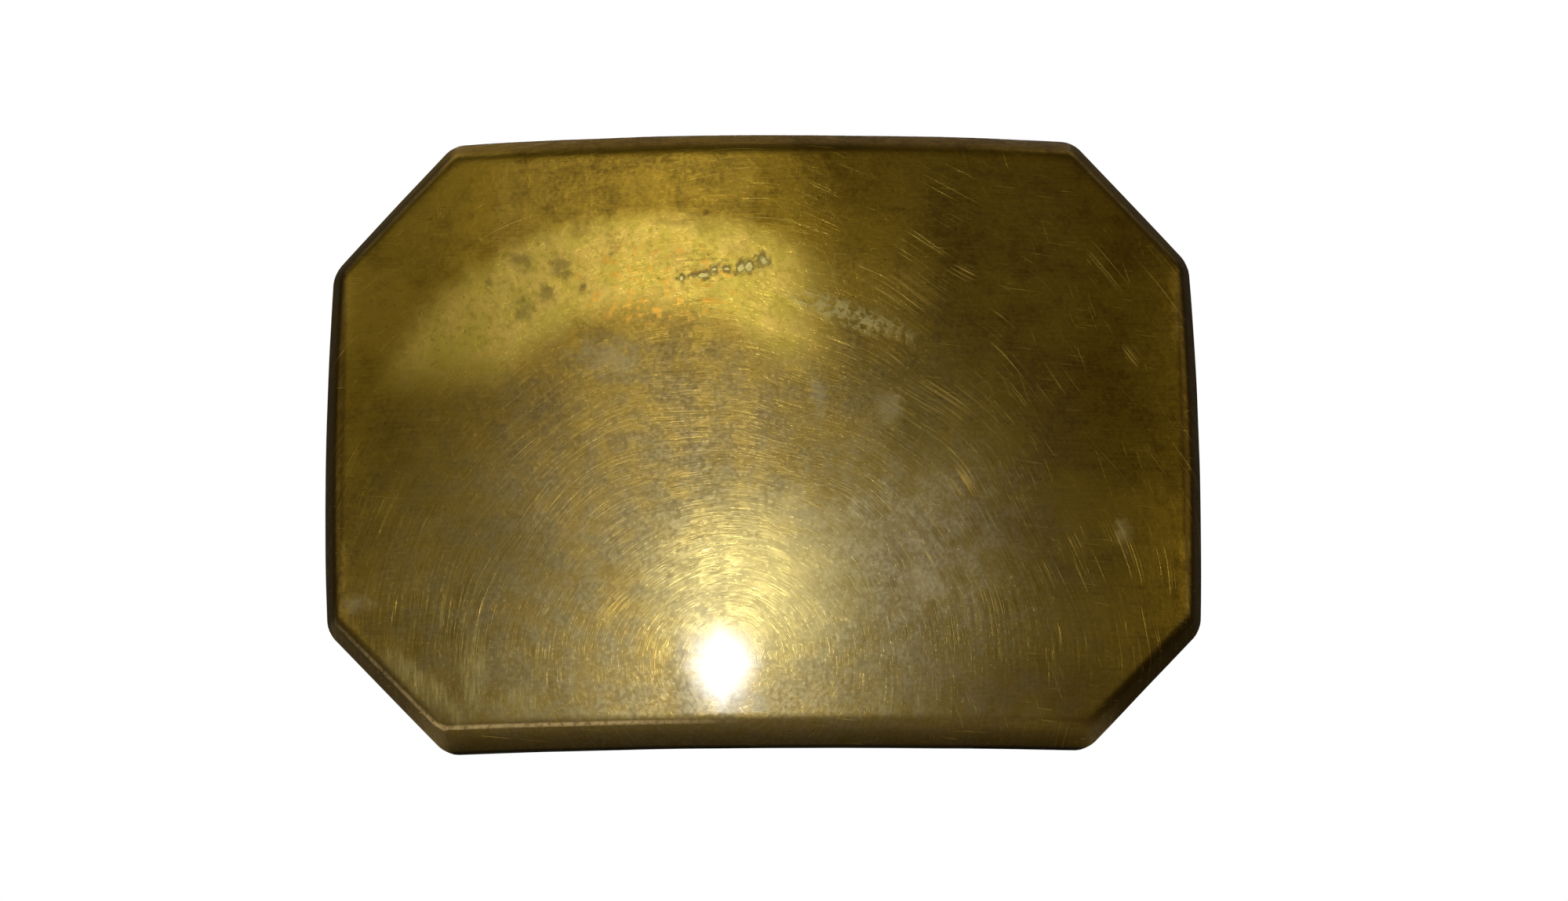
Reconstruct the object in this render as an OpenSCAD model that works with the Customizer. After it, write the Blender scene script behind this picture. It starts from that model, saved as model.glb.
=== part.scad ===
// Plate belt buckle: a pressed brass face with clipped corners, soldered to a backing sheet
// that carries a riveted hinge strap with a swinging wire bail, and a riveted peg for the belt hole.
// Millimetres. +Z is up as worn, the face looks along -Y, and the wearer is on the +Y side.
// The buckle stands on its lower long edge. The origin is on the surface that it stands on,
// midway across the plate and midway between the face and the tip of the peg.

/* [Face plate] */
// Width of the plate, straight across its ends
plate_w = 81; // [77:0.5:85]
// Height of the plate
plate_h = 57.5; // [52:0.5:62]
// Radius that the outer face is bent to, round an upright axis
face_r = 154; // [140:1:220]
// Leg of each clipped corner
corner_cut = 11.3; // [9:0.1:13]
// Width of the bevel round the face
bevel_w = 1.8; // [1.2:0.1:2.4]
// Depth that the bevel drops
bevel_d = 2.3; // [1.8:0.1:2.6]
// Depth of the pressed rim, face to rear edge
rim_depth = 3.0; // [2.8:0.1:3.6]
// Thickness of the pressed face and its rim
face_t = 1.2; // [0.9:0.1:1.4]

/* [Back] */
// Thickness of the backing sheet
sheet_t = 1.0; // [0.8:0.1:1.4]
// How far the backing sheet's edge stands in from the rim
sheet_inset = 0.25; // [0.1:0.05:0.6]
// Thickness of the solder between rim and backing sheet
solder_t = 0.15; // [0.1:0.05:0.3]

/* [Hinge strap] */
// Distance of the hinge from the middle of the plate
hinge_x = 23; // [21:0.5:24]
// Height of the strap, knuckle end to knuckle end
strap_h = 38; // [34:0.5:38]
// Width of the strap's flat leaf
strap_w = 9; // [8:0.5:10]
// Thickness of the strap
strap_t = 1.0; // [0.8:0.1:1.2]
// Height of each rolled knuckle
knuckle_h = 7; // [5:0.5:9]
// Outer radius of a knuckle
knuckle_r = 2.5; // [2.4:0.05:2.6]

/* [Bail] */
// Wire diameter of the bail
wire_d = 3.0; // [2.6:0.1:3.2]
// Clear width between the bail's arms, for the belt
belt_gap = 40; // [39:0.5:41]
// Distance from the hinge to the middle of the outer bar
bail_reach = 12.5; // [11:0.5:13]
// Bend radius of the outer corners, to the wire's middle
corner_bend = 4; // [3:0.25:5]

/* [Peg] */
// Distance of the peg from the middle of the plate
peg_x = 28.5; // [26:0.5:30]
// Diameter of the peg
peg_d = 4.6; // [4.2:0.1:5]
// Straight length of the peg, measured from its collar
peg_l = 5; // [4.5:0.1:6]
// Height of the collar at the foot of the peg
collar_h = 1.6; // [1.5:0.1:2]
// Lean of the peg towards the near end of the plate, in degrees from straight back
peg_lean = 3; // [0:1:4]
// Height and width of the peg's pad
pad_h = 20; // [18:0.5:22]
pad_w = 9; // [8:0.5:10]
// Thickness of the pad
pad_t = 1.2; // [1:0.1:1.6]

/* [Hidden] */
$fn = 48;

// Radii of the layers, from the face backwards
rim_r = face_r - rim_depth;
sheet_r = rim_r - solder_t;
rear_r = sheet_r - sheet_t;
half_h = plate_h / 2;
half_angle = asin(plate_w / 2 / (face_r - bevel_d));
bevel_slope = sqrt(bevel_w * bevel_w + bevel_d * bevel_d);
mm_to_deg = 180 / (PI * face_r);

// Running and seating clearances
pin_gap = 0.05;
seat_gap = 0.02;
knuckle_lift = 0.1;

wire_r = wire_d / 2;
hinge_angle = -asin(hinge_x / rear_r);
hinge_lift = knuckle_r + knuckle_lift;
peg_angle = asin(peg_x / rear_r);

// Lean of the peg from the surface under it, and the middle of its round end above that surface
surface_lean = peg_angle + peg_lean;
peg_tip = [(collar_h + peg_l) * sin(surface_lean), pad_t + (collar_h + peg_l) * cos(surface_lean)];

// Depth from the face to the tip of the peg, and the upright axis that everything is bent round
overall_d = face_r - (rear_r - peg_tip.y) * cos(peg_angle) + peg_tip.x * sin(peg_angle) + peg_d / 2;
axis_y = face_r - overall_d / 2;

rivet_r = 1.0;
rivet_head_r = 1.7;
rivet_head_h = 0.9;
rivet_tail_h = 0.6;
strap_rivet_z = [-15.5, -5.5, 5.5, 15.5];
strap_rivet_angle = hinge_angle + 5.6 * 180 / (PI * rear_r);
pad_rivet_z = pad_h / 2 - 3.4;
spigot_r = 1.5;
collar_r = 3.3;

face_colour = [0.55, 0.45, 0.16];
sheet_colour = [0.50, 0.39, 0.15];
fitting_colour = [0.62, 0.48, 0.20];
rivet_colour = [0.66, 0.50, 0.22];
solder_colour = [0.55, 0.54, 0.50];

// Puts its children on the bent surface of radius r, at an angle from the middle:
// x runs along the surface, y towards the wearer and z up from mid-height.
module on_surface(r, angle)
    translate([0, axis_y, half_h]) rotate([0, 0, angle]) translate([0, -r, 0]) children();

// Bends an upright cross-section, drawn as [radius, height] points, through twice half_turn.
module bend(half_turn, section)
    translate([0, axis_y, half_h]) rotate([0, 0, -90 - half_turn])
        rotate_extrude(angle = 2 * half_turn, $fn = 180) polygon(section);

// Places its children at each clipped corner: x points out across the cut and z runs along it.
module at_corners() {
    middle = half_angle - corner_cut / 2 * mm_to_deg;
    for (side = [-1, 1], end = [-1, 1])
        on_surface(face_r, side * middle)
            translate([0, 0, end * (half_h - corner_cut / 2)])
                rotate([0, side * end * -45 + (side < 0 ? 180 : 0), 0]) children();
}

// The waste outside a clipped corner, for an outline that stands in by inset.
module corner_waste(inset)
    at_corners() translate([-inset, -face_t, -corner_cut * 1.5])
        cube([corner_cut, rim_depth + sheet_t + 2 * face_t, corner_cut * 3]);

// The waste above the bevel, for a surface that lies inset below the outer one.
module bevel_waste(inset) {
    top = [-bevel_w - inset * (bevel_slope - bevel_w) / bevel_d, inset];
    foot = [-inset, bevel_d + inset * (bevel_slope - bevel_d) / bevel_w];
    run = foot - top;
    linear_extrude(height = plate_h, center = true)
        polygon([top - run, foot + run, [foot.x + 2 * bevel_w, foot.y + run.y], [foot.x + 2 * bevel_w, top.y - run.y]]);
}

// The bent, bevelled block inside the face's surface, standing in by inset on every side.
module face_block(inset, back_r) {
    top_z = half_h - bevel_w - inset * (bevel_slope - bevel_w) / bevel_d;
    foot_r = face_r - bevel_d - inset * (bevel_slope - bevel_d) / bevel_w;
    difference() {
        bend(half_angle - inset * mm_to_deg,
             [[back_r, inset - half_h], [foot_r, inset - half_h], [face_r - inset, -top_z],
              [face_r - inset, top_z], [foot_r, half_h - inset], [back_r, half_h - inset]]);
        corner_waste(inset);
        at_corners() bevel_waste(inset);
        on_surface(face_r, half_angle) bevel_waste(inset);
        on_surface(face_r, -half_angle) mirror([1, 0, 0]) bevel_waste(inset);
    }
}

// A bent sheet with clipped corners between two radii, standing in by inset at its edge.
module bent_sheet(inner_r, outer_r, inset)
    difference() {
        bend(half_angle - inset * mm_to_deg,
             [[inner_r, inset - half_h], [outer_r, inset - half_h],
              [outer_r, half_h - inset], [inner_r, half_h - inset]]);
        corner_waste(inset);
    }

// A round bar from the rear surface, from one height to another along the surface's own normal.
module rear_post(radius, from, to)
    translate([0, from, 0]) rotate([-90, 0, 0]) cylinder(r = radius, h = to - from);

module at_strap_rivets()
    for (z = strap_rivet_z) on_surface(rear_r, strap_rivet_angle) translate([0, 0, z]) children();

module at_pad_rivets()
    for (z = [-pad_rivet_z, pad_rivet_z]) on_surface(rear_r, peg_angle) translate([0, 0, z]) children();

// Pressed brass face with its bevel and turned-down rim, hollow behind.
module face_plate()
    color(face_colour) difference() {
        face_block(0, rim_r);
        face_block(face_t, rim_r - rim_depth);
    }

// The thin line of soft solder that joins rim and backing sheet.
module rim_solder()
    color(solder_colour) difference() {
        bent_sheet(sheet_r, rim_r, sheet_inset / 2);
        bent_sheet(sheet_r - sheet_t, rim_r + sheet_t, face_t);
    }

// Backing sheet that closes the shell, drilled for the rivets and the peg's spigot.
module back_plate()
    color(sheet_colour) difference() {
        bent_sheet(rear_r, sheet_r, sheet_inset);
        at_strap_rivets() rear_post(rivet_r, -2 * sheet_t, sheet_t);
        at_pad_rivets() rear_post(rivet_r, -2 * sheet_t, sheet_t);
        on_surface(rear_r, peg_angle) rear_post(spigot_r, -2 * sheet_t, sheet_t);
    }

// Brass strap with a rolled knuckle at each end, for the ends of the bail to turn in.
module hinge_strap()
    color(fitting_colour) difference() {
        union() {
            intersection() {
                bend(half_angle, [[rear_r - strap_t, -strap_h / 2], [rear_r, -strap_h / 2],
                                  [rear_r, strap_h / 2], [rear_r - strap_t, strap_h / 2]]);
                on_surface(rear_r, hinge_angle) translate([0, -strap_w, 0]) union() {
                    translate([knuckle_r, 0, -strap_h]) cube([strap_w - knuckle_r, 2 * strap_w, 2 * strap_h]);
                    for (end = [-1, 1])
                        translate([0, 0, end * (strap_h / 2 - knuckle_h / 2) - knuckle_h / 2])
                            cube([strap_w, 2 * strap_w, knuckle_h]);
                }
            }
            for (end = [-1, 1])
                on_surface(rear_r, hinge_angle)
                    translate([0, hinge_lift, end * (strap_h / 2 - knuckle_h / 2)])
                        cylinder(r = knuckle_r, h = knuckle_h, center = true);
        }
        on_surface(rear_r, hinge_angle) translate([0, hinge_lift, 0])
            cylinder(r = wire_r + pin_gap, h = 2 * strap_h, center = true);
        at_strap_rivets() rear_post(rivet_r, -sheet_t, 2 * strap_t);
    }

// A rivet that grips a fitting of the given thickness to the backing sheet.
module rivet(grip) {
    rear_post(rivet_r, -sheet_t - rivet_tail_h / 2, grip + rivet_head_h / 2);
    rear_post(rivet_head_r, -sheet_t - rivet_tail_h - seat_gap, -sheet_t - seat_gap);
    intersection() {
        rear_post(rivet_head_r, grip + seat_gap, grip + seat_gap + rivet_head_h);
        translate([0, grip + rivet_head_h - 2 * rivet_head_r, 0]) sphere(r = 2 * rivet_head_r);
    }
}

module strap_rivets()
    color(rivet_colour) at_strap_rivets() rivet(strap_t);

// Wire bail, bent from one length, with its two ends turned in to the knuckles.
module belt_bail() {
    arm_z = belt_gap / 2 + wire_r;
    pin_bend = 2.2;
    pin_in = strap_h / 2 - knuckle_h;
    color(fitting_colour) on_surface(rear_r, hinge_angle) translate([0, hinge_lift, 0]) {
        translate([-bail_reach, 0, 0])
            cylinder(r = wire_r, h = 2 * (arm_z - corner_bend), center = true);
        for (end = [-1, 1]) mirror([0, 0, end < 0 ? 1 : 0]) {
            translate([0, 0, pin_in]) cylinder(r = wire_r, h = arm_z - pin_bend - pin_in);
            translate([-pin_bend, 0, arm_z]) rotate([0, -90, 0])
                cylinder(r = wire_r, h = bail_reach - pin_bend - corner_bend);
            translate([-pin_bend, 0, arm_z - pin_bend]) rotate([90, 0, 0])
                rotate_extrude(angle = 90) translate([pin_bend, 0]) circle(r = wire_r);
            translate([corner_bend - bail_reach, 0, arm_z - corner_bend]) rotate([90, -90, 0])
                rotate_extrude(angle = 90) translate([corner_bend, 0]) circle(r = wire_r);
        }
    }
}

// Stadium-shaped pad under the peg, bent to the backing sheet.
module hook_pad()
    color(fitting_colour) difference() {
        intersection() {
            bend(half_angle, [[rear_r - pad_t, -pad_h], [rear_r, -pad_h], [rear_r, pad_h], [rear_r - pad_t, pad_h]]);
            on_surface(rear_r, peg_angle) union() {
                translate([-pad_w / 2, -pad_w, (pad_w - pad_h) / 2]) cube([pad_w, 2 * pad_w, pad_h - pad_w]);
                for (end = [-1, 1])
                    translate([0, 0, end * (pad_h - pad_w) / 2]) rear_post(pad_w / 2, -pad_w, pad_w);
            }
        }
        at_pad_rivets() rear_post(rivet_r, -sheet_t, 2 * pad_t);
        on_surface(rear_r, peg_angle) rear_post(spigot_r, -sheet_t, 2 * pad_t);
    }

module pad_rivets()
    color(rivet_colour) at_pad_rivets() rivet(pad_t);

// Round-ended peg for the belt hole, with a collar that stands it clear of its pad,
// staked through pad and backing sheet by its spigot.
module hook_peg() {
    color(fitting_colour) {
        difference() {
            on_surface(rear_r, peg_angle) translate([0, pad_t, 0]) rotate([0, 0, -surface_lean]) {
                rear_post(collar_r, -pad_t, collar_h);
                rear_post(peg_d / 2, 0, collar_h + peg_l);
                translate([0, collar_h + peg_l, 0]) sphere(r = peg_d / 2);
            }
            bend(half_angle, [[rear_r - pad_t - seat_gap, -pad_h], [rear_r + sheet_t, -pad_h],
                              [rear_r + sheet_t, pad_h], [rear_r - pad_t - seat_gap, pad_h]]);
        }
        on_surface(rear_r, peg_angle) {
            rear_post(spigot_r, -sheet_t - rivet_tail_h / 2, 2 * pad_t);
            rear_post(1.5 * spigot_r, -sheet_t - rivet_tail_h - seat_gap, -sheet_t - seat_gap);
        }
    }
}

face_plate();
rim_solder();
back_plate();
hinge_strap();
strap_rivets();
belt_bail();
hook_pad();
pad_rivets();
hook_peg();
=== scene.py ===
from math import asin, cos, pi, radians, sin, tan

import bmesh
import bpy
from mathutils import Matrix, Vector


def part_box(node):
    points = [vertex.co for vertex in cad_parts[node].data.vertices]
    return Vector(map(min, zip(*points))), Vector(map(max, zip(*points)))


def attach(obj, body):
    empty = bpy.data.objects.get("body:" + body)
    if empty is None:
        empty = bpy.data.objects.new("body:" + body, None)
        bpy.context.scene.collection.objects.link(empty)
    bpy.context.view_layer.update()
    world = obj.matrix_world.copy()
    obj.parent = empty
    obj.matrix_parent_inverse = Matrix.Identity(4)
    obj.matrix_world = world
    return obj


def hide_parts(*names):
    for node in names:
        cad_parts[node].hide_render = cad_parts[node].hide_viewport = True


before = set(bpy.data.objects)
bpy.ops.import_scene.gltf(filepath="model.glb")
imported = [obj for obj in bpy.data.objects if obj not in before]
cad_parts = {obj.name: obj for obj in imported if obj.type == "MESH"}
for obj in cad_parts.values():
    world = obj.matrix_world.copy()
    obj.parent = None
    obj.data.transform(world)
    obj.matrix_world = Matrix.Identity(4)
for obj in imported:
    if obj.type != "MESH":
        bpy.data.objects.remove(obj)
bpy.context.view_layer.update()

# Camera. A long lens, 36 cm away, that looks up a little at the face. The buckle sits just left
# of the middle of the frame. Lengths are in metres here and in every section.
lens_mm = 89.2
sensor_mm = 36.0
camera_distance = 0.3551
camera_elevation = radians(-13.19)
camera_azimuth = radians(-0.365)
camera_roll = radians(-0.4725)
aim_right, aim_up = 0.00192, -0.00138

plate_lo, plate_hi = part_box("face_plate")
plate_mid_z = (plate_lo.z + plate_hi.z) / 2
bevel_depth = 0.0023
aim = Vector((0, plate_lo.y + bevel_depth, plate_mid_z))

level_right = Vector((cos(camera_azimuth), sin(camera_azimuth), 0))
backward = Vector((sin(camera_azimuth) * cos(camera_elevation),
                   -cos(camera_azimuth) * cos(camera_elevation), sin(camera_elevation)))
level_up = backward.cross(level_right)
camera_right = level_right * cos(camera_roll) + level_up * sin(camera_roll)
camera_up = level_up * cos(camera_roll) - level_right * sin(camera_roll)
camera_place = aim + camera_right * aim_right + camera_up * aim_up + backward * camera_distance

bpy.ops.object.camera_add()
camera = bpy.context.object
camera.matrix_world = (Matrix.Translation(camera_place)
                       @ Matrix((camera_right, camera_up, backward)).transposed().to_4x4())
camera.data.lens = lens_mm
camera.data.sensor_width = sensor_mm
camera.data.clip_start = 0.01
bpy.context.scene.camera = camera
bpy.context.scene.view_settings.view_transform = "Standard"

# Face plate. Brass sheet 1.2 mm thick, pressed flat with a bevel and a turned-down rim, its
# corners clipped, and then bent round a former to the wearer's waist.
bend_radius = 0.154
rim_depth = 0.0030
brass_sheet = 0.0012
half_turn = asin(plate_hi.x / (bend_radius - bevel_depth))
half_width = bend_radius * half_turn
half_height = (plate_hi.z - plate_lo.z) / 2
corner_clip = 0.0113
deeper_clip = 0.0004
end_bow = 0.0005
corner_round = 0.0024
arc_steps = 4
grid_step = 0.001
edge_margin = 0.0025
same_place = 1e-6
# The turned rim, the bevel and the soft ridge above it, as steps inwards and forwards.
rim_profile = ((0.00005, 0.00012), (0.00012, 0.00016), (0.00050, 0.00066), (0.00045, 0.00056),
               (0.00026, 0.00030), (0.00024, 0.00022), (0.00024, 0.00014), (0.00026, 0.00008),
               (0.00026, 0.00003))


def edit_mesh(piece):
    return bmesh.from_edit_mesh(piece.data)


def pick(piece, kind, test):
    """Selects the vertices, edges or faces that pass a test, and nothing else."""
    bpy.ops.mesh.select_all(action="DESELECT")
    bpy.ops.mesh.select_mode(type=kind)
    mesh = edit_mesh(piece)
    for item in {"VERT": mesh.verts, "EDGE": mesh.edges, "FACE": mesh.faces}[kind]:
        corners = [item] if kind == "VERT" else item.verts
        middle = sum((corner.co for corner in corners), Vector()) / len(corners)
        item.select = bool(test(item, middle))
    mesh.select_flush_mode()
    bmesh.update_edit_mesh(piece.data)


def clipped_outline(name, inset, depth):
    """A flat outline of edges with clipped and slightly rounded corners, left in edit mode."""
    width = half_width - end_bow - inset
    height = half_height - inset
    even_clip = corner_clip - inset * (2 - 1 / cos(pi / 4))
    bpy.ops.object.select_all(action="DESELECT")
    bpy.ops.mesh.primitive_plane_add(size=2, rotation=(pi / 2, 0, 0), location=(0, depth, 0))
    piece = bpy.context.object
    piece.name = name
    bpy.ops.object.transform_apply(location=True, rotation=True, scale=True)
    bpy.ops.object.mode_set(mode="EDIT")
    bpy.ops.mesh.select_all(action="SELECT")
    bpy.ops.transform.resize(value=(width, 1, height), center_override=(0, depth, 0))
    for side in (-1, 1):
        clip = even_clip + (deeper_clip if side < 0 else 0)
        for end in (-1, 1):
            middle = (side * (width - clip / 2), depth, end * (height - clip / 2))
            bpy.ops.mesh.select_all(action="SELECT")
            bpy.ops.mesh.bisect(plane_co=middle, plane_no=(side, 0, end), clear_outer=True)
    bpy.ops.mesh.select_all(action="SELECT")
    bpy.ops.mesh.bevel(offset=corner_round * tan(pi / 8), affect="VERTICES", segments=arc_steps)
    bpy.ops.mesh.delete(type="ONLY_FACE")
    for shortest, longest in ((0.045, 1), (0.02, 0.045), (0.01, 0.02)):  # long edges, ends, clips
        pick(piece, "EDGE", lambda edge, middle: shortest < edge.calc_length() < longest)
        bpy.ops.mesh.subdivide(number_cuts=int(shortest * 1.15 / grid_step))
    for side in (-1, 1):
        nearest = min(abs(v.co.z) for v in edit_mesh(piece).verts if v.co.x * side > width / 2)
        pick(piece, "VERT", lambda v, middle: v.co.x * side > width / 2
             and abs(v.co.z) < nearest + same_place)
        bpy.ops.transform.translate(value=(side * end_bow, 0, 0), use_proportional_edit=True,
                                    proportional_edit_falloff="INVERSE_SQUARE",
                                    proportional_size=height - even_clip)
    bpy.ops.mesh.select_all(action="SELECT")
    bpy.ops.mesh.edge_face_add()
    edit_mesh(piece).faces.ensure_lookup_table()
    if edit_mesh(piece).faces[0].normal.y > 0:
        bpy.ops.mesh.flip_normals()
    return piece


def cut_into_squares(piece, depth):
    """Cuts the flat faces at one depth into a regular grid, so that they can be bent."""
    for direction, reach in ((Vector((1, 0, 0)), half_width), (Vector((0, 0, 1)), half_height)):
        lines = int(2 * (reach - edge_margin) / grid_step)
        for line in range(lines + 1):
            place = direction * (-lines / 2 + line) * grid_step
            pick(piece, "FACE", lambda face, middle: all(abs(v.co.y - depth) < same_place
                                                         for v in face.verts))
            bpy.ops.mesh.bisect(plane_co=place, plane_no=direction)


def mark_from_edge(piece):
    """Notes how far each point of a flat piece lies inside the outline, in millimetres."""
    marks = piece.data.attributes.new("from_edge", "FLOAT", "POINT")
    for vertex, mark in zip(piece.data.vertices, marks.data):
        across, up = abs(vertex.co.x), abs(vertex.co.z)
        inside_clip = (half_width + half_height - corner_clip - across - up) * sin(pi / 4)
        mark.value = 1000 * min(half_width - across, half_height - up, inside_clip)


def finish_modifier(piece, kind, **settings):
    """Adds a modifier and applies it."""
    modifier = piece.modifiers.new(kind.lower(), kind)
    for name, value in settings.items():
        setattr(modifier, name, value)
    bpy.ops.object.modifier_apply(modifier=modifier.name)


def bend_to_waist(piece):
    """Bends a flat piece whose face would lie at y = 0, and moves it to its place."""
    width = max(v.co.x for v in piece.data.vertices) - min(v.co.x for v in piece.data.vertices)
    finish_modifier(piece, "SIMPLE_DEFORM", deform_method="BEND", deform_axis="Z",
                    angle=width / bend_radius)
    piece.location = (0, plate_lo.y, plate_mid_z)
    bpy.ops.object.transform_apply(location=True, rotation=True, scale=True)


face_plate = clipped_outline("face_plate_pressed", 0, rim_depth)
wall = rim_depth - sum(forward for inward, forward in rim_profile)
bpy.ops.mesh.extrude_region_move(TRANSFORM_OT_translate={"value": (0, -wall, 0)})
pick(face_plate, "FACE", lambda face, middle: len(face.verts) > 4 and middle.y > rim_depth - same_place)
bpy.ops.mesh.delete(type="ONLY_FACE")
pick(face_plate, "FACE", lambda face, middle: len(face.verts) > 4)
for inward, forward in rim_profile:
    bpy.ops.mesh.inset(thickness=inward, depth=forward, use_even_offset=True)
cut_into_squares(face_plate, min(v.co.y for v in edit_mesh(face_plate).verts))
bpy.ops.object.mode_set(mode="OBJECT")

mark_from_edge(face_plate)
# The press and the buffing wheel left it very slightly uneven.
hand_work = bpy.data.textures.new("uneven hand work", "CLOUDS")
hand_work.noise_scale = 0.014
finish_modifier(face_plate, "DISPLACE", texture=hand_work, strength=0.00012, mid_level=0.5,
                texture_coords="LOCAL")
finish_modifier(face_plate, "SOLIDIFY", thickness=brass_sheet, offset=-1)
bend_to_waist(face_plate)
bpy.ops.object.shade_smooth()
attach(face_plate, "plate")
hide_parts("face_plate")


class Finish:
    """A material being built. Each method adds a node and gives back its output."""

    def __init__(self, name):
        self.material = bpy.data.materials.new(name)
        self.material.use_nodes = True
        self.tree = self.material.node_tree
        self.shader = self.tree.nodes["Principled BSDF"]

    def feed(self, socket, value):
        """Links an output to a socket, or sets the socket to a plain value."""
        if isinstance(value, bpy.types.NodeSocket):
            self.tree.links.new(value, socket)
        else:
            socket.default_value = value

    def add(self, kind, output, sockets, **settings):
        node = self.tree.nodes.new("ShaderNode" + kind)
        for name, value in settings.items():
            setattr(node, name, value)
        for name, value in sockets.items():
            self.feed(node.inputs[name], value)
        return node.outputs[output]

    def millimetres(self, centre):
        """The place on the piece, in millimetres from a centre given in metres."""
        place = self.add("TexCoord", "Object", {})
        return self.frame(place, centre, (0.001, 0.001, 0.001))

    def frame(self, place, centre, sizes, turn=0.0):
        """A place measured from a centre, in units of its own along x, y and z."""
        return self.add("Mapping", "Vector", {"Vector": place, "Location": centre, "Scale": sizes,
                                              "Rotation": (0, radians(turn), 0)}, vector_type="TEXTURE")

    def noise(self, place, scale=1.0, detail=3.0, roughness=0.5):
        return self.add("TexNoise", "Fac", {"Vector": place, "Scale": scale, "Detail": detail,
                                            "Roughness": roughness})

    def fade(self, value, start, end, low=0.0, high=1.0):
        """Turns start..end smoothly into low..high."""
        return self.add("MapRange", "Result", {"Value": value, "From Min": start, "From Max": end,
                                               "To Min": low, "To Max": high},
                        interpolation_type="SMOOTHSTEP")

    def work(self, operation, *values):
        """Joins two or more values by one operation, from the first to the last."""
        result = values[0]
        for value in values[1:]:
            result = self.add("Math", "Value", {0: result, 1: value}, operation=operation)
        return result

    def times(self, *values):
        return self.work("MULTIPLY", *values)

    def total(self, *values):
        return self.work("ADD", *values)

    def most(self, *values):
        return self.work("MAXIMUM", *values)

    def length(self, place):
        return self.add("VectorMath", "Value", {0: place}, operation="LENGTH")

    def spot(self, place, centre, sizes, turn=0.0, rough_edge=0.0, inner=0.6, outer=1.1):
        """An oval patch with a soft or broken edge: 1 inside and 0 outside."""
        reach = self.length(self.frame(place, (centre[0], 0, centre[1]), (sizes[0], 1000, sizes[1]), turn))
        if rough_edge:
            reach = self.total(reach, self.times(self.noise(place, 0.9, 6, 0.65), rough_edge))
        return self.fade(reach, outer, inner)

    def spots(self, place, rows, *edges):
        """Several patches in one. A row gives across, up, half width, half height and turn."""
        return self.most(*[self.spot(place, (x, z), (wide, tall), turn, *edges)
                           for x, z, wide, tall, turn in rows])

    def scratches(self, place, turn, length, width, rarity):
        """Straight scratches at one angle: the higher the rarity, the fewer."""
        drawn = self.noise(self.frame(place, (0, 0, 0), (length, 1, width), turn), 1.0, 1.0, 0.5)
        return self.fade(drawn, rarity, rarity + 0.05)

    def mix(self, amount, under, over):
        """Lays one colour over another by an amount. A Mix node's colour sockets are 6, 7 and 2."""
        return self.add("Mix", 2, {0: amount, 6: under, 7: over}, data_type="RGBA")

    def layer(self, colour, mask, share, over):
        """Lays a second colour over the first inside a mask, at a share of full strength."""
        return self.mix(self.times(mask, share), colour, over)

    def finish(self, piece, colour, roughness, metallic, height, coat=0.0, coat_roughness=0.2):
        """Feeds the shader. The height is in millimetres."""
        self.feed(self.shader.inputs["Base Color"], colour)
        self.feed(self.shader.inputs["Roughness"], roughness)
        self.feed(self.shader.inputs["Metallic"], metallic)
        self.feed(self.shader.inputs["Coat Weight"], coat)
        self.shader.inputs["Coat Roughness"].default_value = coat_roughness
        relief = self.add("Bump", "Normal", {"Height": height, "Distance": 0.001, "Strength": 1.0})
        self.feed(self.shader.inputs["Normal"], relief)
        piece.data.materials.clear()
        piece.data.materials.append(self.material)


# The finish of the face: old brass gone olive and brown, rubbed bright along its ridge and in
# a buffed ring, and covered in fine polishing swirls, with painted highlights and painted shade laid into
# its colour where noted below. Places on it are in millimetres.
deep_tarnish = (0.105, 0.058, 0.004, 1)
olive_brass = (0.34, 0.215, 0.018, 1)
warm_brass = (0.52, 0.34, 0.035, 1)
bare_brass = (0.92, 0.66, 0.13, 1)
green_brass = (0.78, 0.60, 0.09, 1)
pale_gold = (0.92, 0.76, 0.28, 1)
pink_gold = (0.95, 0.69, 0.31, 1)
copper_gold = (1.0, 0.68, 0.15, 1)
copper_stain = (1.0, 0.52, 0.06, 1)
grey_film = (0.42, 0.36, 0.19, 1)
pale_haze_glow = (0.78, 0.68, 0.42, 1)
chalky_crust = (0.80, 0.68, 0.22, 1)
green_chalk = (0.60, 0.52, 0.20, 1)
bevel_shade_brown = (0.10, 0.058, 0.008, 1)
rim_shadow_black = (0.035, 0.024, 0.012, 1)

brass = Finish("aged pressed brass")
place = brass.millimetres((0, 0, plate_mid_z))
across = brass.add("SeparateXYZ", "X", {"Vector": place})
upward = brass.add("SeparateXYZ", "Z", {"Vector": place})
edge = brass.add("Attribute", "Fac", {}, attribute_name="from_edge")

clouds = brass.noise(place, 0.10, 5, 0.55)
mottle = brass.noise(place, 0.55, 6, 0.62)
specks = brass.noise(place, 2.6, 4, 0.6)


def speckled(low, high):
    """A share that changes from speck to speck of the fine grain."""
    return brass.fade(specks, 0.36, 0.64, low, high)


# Fine rolling lines of the sheet, all along its length.
rolling = brass.noise(brass.frame(place, (0, 0, 0), (5, 1, 0.11)), 1.0, 3, 0.6)

# Polishing swirls, in arcs about one point low on the face, where the flash highlight falls. Their brighter
# colour is partly real scratching and partly painted glints of the flash.
# Their direction is taken as a unit vector, so that the pattern closes on itself all the way round.
swirl_centre = (-3.8, -21.6)
from_swirl = brass.frame(place, (swirl_centre[0], 0, swirl_centre[1]), (1, 1000, 1))
swirl_radius = brass.length(from_swirl)
heading = brass.add("VectorMath", "Vector", {0: from_swirl}, operation="NORMALIZE")
wander = brass.noise(place, 0.05, 1, 0.5)
ring_place = brass.total(swirl_radius, brass.times(wander, 6.0))


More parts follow.
